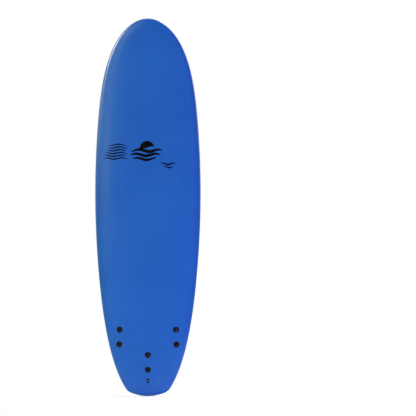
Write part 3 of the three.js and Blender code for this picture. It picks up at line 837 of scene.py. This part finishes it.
def build_slick(material):
    slick = board_body("hull_slick_sheet", sheet_rings(0, SLICK_DEPTH, SLICK_ROUND))
    carve(slick, [z_slab(TAIL_BUMPER_Z + GAP, NOSE_BUMPER_Z - GAP)], "INTERSECT")
    holes = [sleeve_cutter(place, z) for place in FINS.values() for z in SCREW_ENDS.values()]
    carve(slick, holes + [grip_cutter()])
    return finish_piece(slick, material, "hull_slick", "bottom_slick")


def build_bumper(name, from_z, to_z, material, slot_name, node):
    bumper = board_body(name, sheet_rings(0, SKIN_DEPTH, BUMPER_ROUND))
    carve(bumper, [z_slab(from_z, to_z)], "INTERSECT")
    bevel = bumper.modifiers.new("rounded_edge", "BEVEL")
    bevel.width = BUMPER_BEVEL
    bevel.segments = 3
    bevel.limit_method = "ANGLE"
    bevel.angle_limit = math.radians(50)
    return finish_piece(bumper, material, slot_name, node)


# ---------------------------------------------------------------- finger grip


def build_grip(material, painted_light_floor_material):
    """A moulded cup: a rounded rim, walls that slope in, and a narrow floor, painted lighter than the walls
    as painted light.
    """
    rim = GRIP_RIM_ROUND
    loops = [
        grip_loop(grip_rim(-rim), -GRIP_DEPTH),
        grip_loop(grip_rim(0), rim - GRIP_DEPTH),
        grip_loop(grip_rim(0), -rim),
    ]
    for i in range(1, 6):
        turn = math.pi / 2 * i / 5
        loops.append(grip_loop(grip_rim(rim * (math.cos(turn) - 1)), rim * (math.sin(turn) - 1)))
    for i in range(1, 6):
        turn = math.pi / 2 * i / 5
        inner = grip_rim(rim * (1 - math.sin(turn)) - GRIP_WALL)
        loops.append(grip_loop(inner, rim * (math.cos(turn) - 1)))
    top = grip_rim(-GRIP_WALL)
    floor = grip_outline(*GRIP_FLOOR_SHAPE)
    bottom_y = GRIP_WALL - GRIP_DEPTH
    steps = 14
    for i in range(1, steps + 1):
        turn = math.pi / 2 * i / steps
        slide = 0.35 * i / steps + 0.65 * (1 - math.cos(turn))
        depth = -rim + (bottom_y + rim) * math.sin(turn) ** 0.9
        loops.append(grip_loop(top + (floor - top) * slide, depth))
    grip = loop_body("finger_grip_cup", loops)
    finish_piece(grip, material, "grip_rubber", "finger_grip")
    grip.data.materials.append(painted_light_floor_material)
    # The floor's faces, which look straight out of the hull, take the lighter rubber with the painted
    # light.
    for face in grip.data.polygons:
        if abs(face.normal.y) > 0.99 and abs(face.center.y - bottom_y) < 0.0015:
            face.material_index = 1
    return grip


# ---------------------------------------------------------------- fins

FLANGE_LENGTH = 0.131
FLANGE_WIDTH = 0.045
FLANGE_HEIGHT = 0.005
FLANGE_ROUND = 0.0016
FLANGE_CROWN = 0.0024
FIN_DEPTH = 0.117
FIN_TIP_OVERHANG = 0.051
BLADE_BASE_FRONT = 0.057
BLADE_BASE_REAR = -0.059
BLADE_BASE_THICKNESS = 0.0115
BLADE_TIP_THICKNESS = 0.0055
BLADE_THINNING_POWER = 2.2
BLADE_FULLNESS = 0.15
TIP_START = 0.975
TIP_LEAN = 0.32
BLADE_FILLET = 0.0035
BLADE_LEVELS = 40
FIN_LOOP = 160
POST_RADIUS = 0.0075
POST_END = -0.024
POST_CHAMFER = 0.0006
INSERT_RADIUS = 0.005
INSERT_POCKET_END = -0.012


def blade_edges(share):
    tip = -FLANGE_LENGTH / 2 - FIN_TIP_OVERHANG
    leading = BLADE_BASE_FRONT - 0.038 * share - 0.100 * share**2.6
    bow = 0.006 * math.sin(math.pi * share)
    trailing = BLADE_BASE_REAR + bow + (tip - BLADE_BASE_REAR) * share**2.2
    return leading, trailing


def fin_angles():
    return 2 * math.pi * np.arange(FIN_LOOP) / FIN_LOOP


def flange_outline(inset):
    """The capsule-shaped flange's outline, crowded with points towards its two ends."""
    radius = FLANGE_WIDTH / 2 - inset
    straight = (FLANGE_LENGTH - FLANGE_WIDTH) / 2
    angle = fin_angles()
    z = (straight + radius) * np.cos(angle)
    beyond = np.maximum(np.abs(z) - straight, 0)
    x = np.sign(np.sin(angle)) * np.sqrt(np.maximum(radius**2 - beyond**2, 0))
    x[[0, FIN_LOOP // 2]] = 0
    return np.stack([x, z], axis=1)


def blade_outline(share, grown, scale=1.0):
    """A foiled section of the blade, thickest ahead of its middle, at a share of its depth.

    A scale under 1 shrinks the section towards the trailing edge, to round the tip off.
    """
    leading, trailing = blade_edges(share)
    thinned = (BLADE_TIP_THICKNESS - BLADE_BASE_THICKNESS) * share**BLADE_THINNING_POWER
    half = (BLADE_BASE_THICKNESS + thinned) / 2
    angle = fin_angles()
    fuller = np.sin(angle) * (1 + BLADE_FULLNESS * np.cos(angle)) / (1 + BLADE_FULLNESS**2 / 2)
    x = (half * scale + grown) * fuller
    z = (leading + trailing) / 2 + ((leading - trailing) / 2 * scale + grown) * np.cos(angle)
    z -= (1 - scale) * (leading - trailing) * TIP_LEAN
    return np.stack([x, z], axis=1)


def level(flat, y):
    return np.stack([flat[:, 0], np.full(len(flat), y), flat[:, 1]], axis=1)


def fin_loops():
    loops = [level(flange_outline(0.0004), GAP), level(flange_outline(0), GAP + 0.0004)]
    for i in range(7):
        turn = math.pi / 2 * i / 6
        inset = FLANGE_ROUND * (1 - math.cos(turn))
        loops.append(level(flange_outline(inset), FLANGE_HEIGHT - FLANGE_ROUND * (1 - math.sin(turn))))
    rim = flange_outline(FLANGE_ROUND)
    foot_y = FLANGE_HEIGHT + FLANGE_CROWN
    foot_share = (foot_y + BLADE_FILLET) / FIN_DEPTH
    foot = blade_outline(foot_share, BLADE_FILLET)
    for i in range(1, 13):
        share = i / 12
        rise = FLANGE_CROWN * math.sin(math.pi / 2 * share)
        loops.append(level(rim + (foot - rim) * share, FLANGE_HEIGHT + rise))
    for i in range(1, 8):
        turn = math.pi / 2 * i / 7
        grown = BLADE_FILLET * (1 - math.sin(turn))
        loops.append(level(blade_outline(foot_share, grown), foot_y + BLADE_FILLET * (1 - math.cos(turn))))
    for i in range(1, BLADE_LEVELS + 1):
        share = foot_share + (TIP_START - foot_share) * math.sin(math.pi / 2 * i / BLADE_LEVELS)
        loops.append(level(blade_outline(share, 0), FIN_DEPTH * share))
    for i in range(1, 9):
        turn = math.pi / 2 * i / 9
        share = TIP_START + (1 - TIP_START) * math.sin(turn)
        loops.append(level(blade_outline(share, 0, math.cos(turn) ** 0.6), FIN_DEPTH * share))
    return loops


def build_fin(side, place, material):
    fin = loop_body(f"fin_{side}_moulding", fin_loops())
    posts, pockets = [], []
    for local_z in SCREW_ENDS.values():
        shift = Matrix.Translation((0, 0, local_z))
        outline = [
            (POST_RADIUS - POST_CHAMFER, POST_END),
            (POST_RADIUS, POST_END + POST_CHAMFER),
            (POST_RADIUS, 0.002),
        ]
        posts.append(place_mesh(turned_body("post", outline, 48), shift))
        hole = INSERT_RADIUS + GAP
        pocket = turned_body("hole", [(hole, POST_END - 0.002), (hole, INSERT_POCKET_END)], 48)
        pockets.append(place_mesh(pocket, shift))
    carve(fin, posts, "UNION")
    carve(fin, pockets)
    place_mesh(fin, place)
    return finish_piece(fin, material, "fin_plastic", f"fin_{side}")


# ---------------------------------------------------------------- fin screws

HEAD_RADIUS = 0.016
HEAD_HEIGHT = 0.0035
HEAD_PROUD = 0.0005
HEAD_EDGE = 0.0012
DISH_RADIUS = 0.007
DISH_DEPTH = 0.0012
DISH_FLOOR_RADIUS = 0.0048
DISH_MOUTH_ROUND = 0.0007
SLOT_LENGTH = 0.012
SLOT_WIDTH = 0.0022
SLOT_DEPTH = 0.002
SLOT_EASE = 0.0004
SHANK_RADIUS = 0.003
SHANK_END = -0.014
THREAD_TURNS = 8
THREAD_PITCH = 0.001
THREAD_DEPTH = 0.0005
AXIS_HOLE = 0.0002  # a turned profile stops this short of its axis


def screw_profile(distance):
    """Radius and height pairs, from the middle of the head's face round to the end of the shank."""
    top = -distance - HEAD_PROUD
    floor = top + DISH_DEPTH
    profile = [(AXIS_HOLE, floor), (DISH_FLOOR_RADIUS, floor)]
    for i in range(1, 6):
        turn = math.pi / 2 * i / 5
        radius = DISH_FLOOR_RADIUS + 0.0009 * math.sin(turn)
        profile.append((radius, floor - 0.0004 * (1 - math.cos(turn))))
    for i in range(6):
        turn = math.pi / 2 * i / 5
        radius = DISH_RADIUS - DISH_MOUTH_ROUND * (1 - math.sin(turn))
        profile.append((radius, top + DISH_MOUTH_ROUND * (1 - math.sin(turn)) ** 1.5))
    for i in range(8):
        turn = math.pi / 2 * i / 7
        radius = HEAD_RADIUS - HEAD_EDGE * (1 - math.sin(turn))
        profile.append((radius, top + HEAD_EDGE * (1 - math.cos(turn))))
    underside = -distance + HEAD_HEIGHT - HEAD_PROUD
    profile += [(HEAD_RADIUS, underside - 0.0003), (HEAD_RADIUS - 0.0003, underside)]
    profile += [(SHANK_RADIUS + 0.0005, underside), (SHANK_RADIUS, underside + 0.0005)]
    start = SHANK_END - THREAD_TURNS * THREAD_PITCH - 0.0008
    for i in range(THREAD_TURNS):
        crest = start + THREAD_PITCH * i
        profile += [(SHANK_RADIUS, crest), (SHANK_RADIUS - THREAD_DEPTH, crest + THREAD_PITCH / 2)]
    profile += [(SHANK_RADIUS, start + THREAD_PITCH * THREAD_TURNS)]
    profile += [(SHANK_RADIUS - 0.0006, SHANK_END), (AXIS_HOLE, SHANK_END)]
    return profile


def slot_cutter(distance):
    """A coin slot with round ends and eased edges."""
    floor = -distance - HEAD_PROUD + DISH_DEPTH
    sides = [
        (SLOT_EASE, floor - 0.003),
        (SLOT_EASE, floor - 0.0003),
        (0.0, floor + 0.0002),
        (0.0, floor + SLOT_DEPTH),
    ]
    loops = []
    for margin, y in sides:
        flat = obround(SLOT_WIDTH, SLOT_LENGTH, margin, steps=10)
        loops.append(np.stack([flat[:, 1], np.full(len(flat), y), flat[:, 0]], axis=1))
    return loop_body("slot", loops)


def build_screw(side, end, place, local_z, material, centre_sheen_paint):
    distance = float(deck_distance(place, 0.0, local_z))
    screw = turned_body(f"fin_screw_{side}_{end}_turned", screw_profile(distance), 96)
    carve(screw, [slot_cutter(distance)])
    dished = -distance - HEAD_PROUD + DISH_DEPTH + 0.0001
    centre = []
    for index, face in enumerate(screw.data.polygons):
        radius = math.hypot(face.center.x, face.center.z)
        if radius < DISH_RADIUS - 0.0012 and face.center.y < dished:
            centre.append(index)
    place_mesh(screw, place @ Matrix.Translation((0, 0, local_z)))
    finish_piece(screw, material, "nylon", f"fin_screw_{side}_{end}")
    # The dish's middle faces take the nylon with the painted sheen.
    screw.data.materials.append(centre_sheen_paint)
    for index in centre:
        screw.data.polygons[index].material_index = 1
    return screw


# ---------------------------------------------------------------- leash plug


def build_leash_cup(material):
    """A moulded cup with a rounded rim, a flange under the skin and a rounded well."""
    lip = 0.0004
    under = LEASH_FLANGE_TOP + LEASH_FLANGE_HEIGHT
    wide = LEASH_WALL + LEASH_FLANGE_MARGIN
    loops = [
        leash_loop(LEASH_WALL - 0.0006, LEASH_DEPTH),
        leash_loop(LEASH_WALL, LEASH_DEPTH - 0.0006),
        leash_loop(LEASH_WALL, under),
        leash_loop(wide - lip, under),
        leash_loop(wide, under - lip),
        leash_loop(wide, LEASH_FLANGE_TOP + lip),
        leash_loop(wide - lip, LEASH_FLANGE_TOP),
        leash_loop(LEASH_WALL, LEASH_FLANGE_TOP),
    ]
    for i in range(5):
        turn = math.pi / 2 * i / 4
        loops.append(leash_loop(LEASH_WALL + lip * (math.cos(turn) - 1), lip * (1 - math.sin(turn))))
    for i in range(5):
        turn = math.pi / 2 * i / 4
        loops.append(leash_loop(lip * (1 - math.sin(turn)), lip * (1 - math.cos(turn))))
    floor = LEASH_DEPTH - LEASH_FLOOR
    well = 0.002
    for i in range(6):
        turn = math.pi / 2 * i / 5
        loops.append(leash_loop(well * (math.cos(turn) - 1), floor - well * (1 - math.sin(turn))))
    cup = loop_body("leash_cup_moulding", loops)
    hole = turned_body("pin_hole", [(LEASH_PIN_RADIUS + GAP, -0.02), (LEASH_PIN_RADIUS + GAP, 0.02)], 40)
    place_mesh(hole, pin_place())
    carve(cup, [hole])
    return finish_piece(cup, material, "nylon", "leash_plug_cup")


def pin_place():
    """Local Y runs along the leash pin."""
    low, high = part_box("leash_pin")
    return Matrix.Translation((low + high) / 2) @ Matrix.Rotation(math.pi / 2, 4, "Z")


def build_leash_pin(material):
    half = LEASH_MOUTH[0] / 2 + LEASH_WALL
    chamfer = 0.0004
    profile = [(LEASH_PIN_RADIUS - chamfer, -half)]
    for end in (-1, 1):
        for i in range(5):
            turn = math.pi / 2 * (i if end < 0 else 4 - i) / 4
            radius = LEASH_PIN_RADIUS - chamfer * (1 - math.sin(turn))
            profile.append((radius, end * (half - chamfer * (1 - math.cos(turn)))))
    pin = place_mesh(turned_body("leash_pin_rod", profile, 48), pin_place())
    return finish_piece(pin, material, "pin_steel", "leash_pin")


# ---------------------------------------------------------------- deck print

INK_PROUD = 0.00025
INK_ROOT = 0.0004


def ink_slab(name, flat_rows):
    """A thin closed slab lying on the deck, from a grid of (x, z) rows."""
    rows, columns = flat_rows.shape[:2]
    x, z = flat_rows[..., 0].ravel(), flat_rows[..., 1].ravel()
    deck = deck_y(x, z)
    top = np.stack([x, deck - INK_PROUD, z], axis=1)
    bottom = np.stack([x, deck + INK_ROOT, z], axis=1)
    count = rows * columns
    faces = []
    for r in range(rows - 1):
        for c in range(columns - 1):
            a = r * columns + c
            faces.append((a, a + 1, a + columns + 1, a + columns))
            faces.append((count + a, count + a + columns, count + a + columns + 1, count + a + 1))
    border = list(range(columns))
    border += [r * columns + columns - 1 for r in range(1, rows)]
    border += [(rows - 1) * columns + c for c in range(columns - 2, -1, -1)]
    border += [r * columns for r in range(rows - 2, 0, -1)]
    for i, a in enumerate(border):
        b = border[(i + 1) % len(border)]
        faces.append((a, b, count + b, count + a))
    return closed(make_object(name, np.concatenate([top, bottom]), faces))


def wave_band(name, start_x, end_x, base_z, swing, wavelength, phase, width):
    """A band that rises and falls like a swell and tapers to a point at both ends."""
    columns, rows = 120, 5
    share = np.linspace(0.004, 0.996, columns)
    x = start_x + (end_x - start_x) * share
    centre = base_z + swing * np.sin(2 * math.pi * (x - start_x) / wavelength + phase)
    half = width / 2 * np.sin(math.pi * share) ** 0.5
    flat = np.zeros((rows, columns, 2))
    for r, across in enumerate(np.linspace(-1, 1, rows)):
        flat[r, :, 0] = x
        flat[r, :, 1] = centre + across * half
    return ink_slab(name, flat)


def sun(name, centre_x, centre_z, radius, floor_z):
    """A plain low sun: a disc whose lower part is cut off along a gentle swell."""
    columns, rows = 80, 11
    angle = np.linspace(0.03, math.pi - 0.03, columns)
    x = centre_x - radius * np.cos(angle)
    upper = centre_z + radius * np.sin(angle)
    swell = floor_z + 0.006 * np.sin(2 * math.pi * (x - centre_x) / 0.110)
    lower = np.minimum(np.maximum(centre_z - radius * np.sin(angle), swell), upper - 0.0006)
    flat = np.zeros((rows, columns, 2))
    for r, across in enumerate(np.linspace(0, 1, rows)):
        flat[r, :, 0] = x
        flat[r, :, 1] = lower + (upper - lower) * across
    return ink_slab(name, flat)


def build_print(material):
    """A low sun over three heavy swells, with fine swells to the left and two short ones to the right.

    Each band is its start and end x, its z, swing, wavelength, phase and width.
    """
    bands = [
        (-0.094, 0.082, 0.321, 0.006, 0.110, -1.10, 0.0185),
        (-0.102, 0.074, 0.297, 0.006, 0.110, -0.45, 0.0175),
        (-0.086, 0.052, 0.274, 0.006, 0.110, 0.20, 0.0150),
        (0.070, 0.158, 0.246, 0.0045, 0.060, 0.0, 0.0095),
        (0.088, 0.146, 0.228, 0.0040, 0.060, 0.9, 0.0080),
    ]
    for index in range(6):
        start = -0.254 + 0.006 * index
        end = -0.112 - 0.007 * (index % 2)
        bands.append((start, end, 0.276 + 0.0155 * index, 0.0035, 0.085, 0.7 * index, 0.0080))
    for index, band in enumerate(bands):
        finish_piece(wave_band(f"deck_print_swell_{index + 1}", *band), material, "deck_ink")
    finish_piece(sun("deck_print_sun", -0.004, 0.333, 0.042, 0.338), material, "deck_ink")


# ---------------------------------------------------------------- the inside


def paint_inside():
    """The parts under the skin keep their CAD shapes and get their own materials."""
    blank = bead_foam_material("blank_foam", (0.78, 0.78, 0.76), (0.86, 0.86, 0.85), 0.004)
    backing = bead_foam_material("backing_foam", (0.74, 0.75, 0.76), (0.84, 0.85, 0.86), 0.0012)
    seal = rubber_material("seal_rubber", (0.012, 0.012, 0.012), (0.03, 0.03, 0.03), 0.0008, 0.7)
    paints = {
        "blank": blank,
        "bottom_foam": backing,
        "stringer": plywood_material(),
        "screw_seal": seal,
        "screw_sleeve": tube_plastic_material(),
        "screw_insert": brass_material(),
    }
    for name, node in nodes.items():
        for start, paint in paints.items():
            if name.startswith(start):
                node.data.materials.clear()
                node.data.materials.append(paint)


# ---------------------------------------------------------------- studio


FLOOR_RADIUS = 1.6


def build_floor():
    angles = np.linspace(0, 2 * math.pi, 96, endpoint=False)
    points = [(FLOOR_RADIUS * math.cos(a), FLOOR_RADIUS * math.sin(a), 0) for a in angles]
    floor = make_object("studio_floor", points, [tuple(range(len(points)))])
    floor.location.z = cad_low[2] - 0.0005
    floor.data.materials.append(floor_material())
    return floor


def area_light(name, place, target, width, height, power, tint=(1, 1, 1), gloss=True):
    lamp = bpy.data.lights.new(name, "AREA")
    lamp.shape = "RECTANGLE"
    lamp.size = width
    lamp.size_y = height
    lamp.energy = power
    lamp.color = tint
    obj = bpy.data.objects.new(name, lamp)
    obj.location = place
    obj.rotation_euler = (Vector(target) - Vector(place)).to_track_quat("-Z", "Y").to_euler()
    obj.visible_glossy = gloss
    bpy.context.scene.collection.objects.link(obj)
    return obj


def build_lights(floor):
    """A key lamp and side lamps for each face, one overhead, and one that lights only the floor.

    The deck's blue drifts from greenish at the left to violet at the right, so its lamps are tinted.
    The rail lamp is a narrow strip that shows only as a reflection along the nose's left rail.
    """
    middle = (0, 0, 0)
    nose = (-0.2, 0, 0.75)
    area_light("key_deck", (-1.9, -3.8, 1.1), (0, 0, 0.4), 0.8, 1.6, 53, (0.70, 0.82, 0.56))
    area_light("left_deck", (-2.4, -2.2, 1.2), nose, 1.2, 1.8, 39, (0.66, 1.0, 0.58), gloss=False)
    rail = area_light("rail_deck", (-2.6, -0.6, 1.75), nose, 0.05, 1.4, 230)
    rail.visible_diffuse = False
    area_light("right_deck", (2.2, -2.7, 0.35), middle, 1.2, 2.4, 74, (0.70, 0.42, 1.0), gloss=False)
    area_light("key_hull", (1.8, 2.2, 3.4), (0, 0, -0.2), 0.8, 0.8, 80)
    area_light("fill_hull", (0.3, 4.6, 0.6), (0, 0, 0.1), 3.0, 3.0, 36, gloss=False)
    area_light("left_hull", (2.6, 1.6, 0.9), (0, 0, 0.3), 1.2, 2.0, 17)
    area_light("right_hull", (-2.6, 1.6, 0.8), (0, 0, 0.3), 1.2, 2.0, 22)
    area_light("overhead", (0, 0, 4.2), middle, 1.8, 1.8, 60)
    wash = area_light("floor_wash", (0, 0, 4.0), middle, 1.8, 1.8, 110)
    only_floor = bpy.data.collections.new("only_floor")
    only_floor.objects.link(floor)
    wash.light_linking.receiver_collection = only_floor


def build_world():
    """White behind the object, and a dimmer white light all round it."""
    world = bpy.data.worlds.new("studio")
    bpy.context.scene.world = world
    world.use_nodes = True
    tree = world.node_tree
    tree.nodes.clear()
    seen = tree.nodes.new("ShaderNodeBackground")
    seen.inputs["Color"].default_value = (1, 1, 1, 1)
    lit = tree.nodes.new("ShaderNodeBackground")
    lit.inputs["Color"].default_value = (0.95, 0.97, 1.0, 1)
    lit.inputs["Strength"].default_value = 0.25
    path = tree.nodes.new("ShaderNodeLightPath")
    mix = tree.nodes.new("ShaderNodeMixShader")
    out = tree.nodes.new("ShaderNodeOutputWorld")
    tree.links.new(path.outputs["Is Camera Ray"], mix.inputs[0])
    tree.links.new(lit.outputs[0], mix.inputs[1])
    tree.links.new(seen.outputs[0], mix.inputs[2])
    tree.links.new(mix.outputs[0], out.inputs["Surface"])


def build_camera():
    """A long lens looking straight at the deck, with the board left of the middle of the picture."""
    distance = 60.0
    view_height = 2.355
    camera = bpy.data.cameras.new("camera")
    camera.sensor_width = 36
    camera.lens = camera.sensor_width * distance / view_height
    camera.clip_end = 200
    obj = bpy.data.objects.new("camera", camera)
    obj.location = (0.340, -distance, -0.0038)
    obj.rotation_euler = (math.pi / 2, 0, 0)
    bpy.context.scene.collection.objects.link(obj)
    bpy.context.scene.camera = obj


# ---------------------------------------------------------------- everything

deck_foam = deck_foam_material()
nylon = nylon_material()
polished_and_sheen_painted_nylon = polished_and_sheen_painted_nylon_material()
fin_plastic = fin_plastic_material()

build_deck_skin(deck_foam)
build_slick(hull_slick_material())
nose_rubber = rubber_material("nose_rubber", (0.037, 0.036, 0.039), (0.051, 0.050, 0.054), shine=0.2)
black, soft_black = (0.002, 0.002, 0.002), (0.006, 0.006, 0.006)
tail_rubber = rubber_material("tail_rubber", black, soft_black, rough=0.62, shine=0.06)
build_bumper("nose_bumper_rubber", NOSE_BUMPER_Z, REACH, nose_rubber, "nose_rubber", "nose_bumper")
build_bumper("tail_bumper_rubber", -REACH, TAIL_BUMPER_Z, tail_rubber, "tail_rubber", "tail_bumper")
grip_rubber = rubber_material("grip_rubber", (0.060, 0.052, 0.044), (0.085, 0.076, 0.068))
# Painted light: the same rubber, several times lighter on the cup's floor, which faces straight out of the
# hull.
grip_painted_light_floor = rubber_material("grip_rubber_painted_light_floor", (0.27, 0.25, 0.23), (0.36, 0.335, 0.31))
build_grip(grip_rubber, grip_painted_light_floor)
for side, place in FINS.items():
    build_fin(side, place, fin_plastic)
    for end, local_z in SCREW_ENDS.items():
        build_screw(side, end, place, local_z, nylon, polished_and_sheen_painted_nylon)
build_leash_cup(nylon)
build_leash_pin(pin_steel_material())
build_print(ink_material())
paint_inside()

build_lights(build_floor())
build_world()
build_camera()
bpy.context.scene.view_settings.view_transform = "Standard"
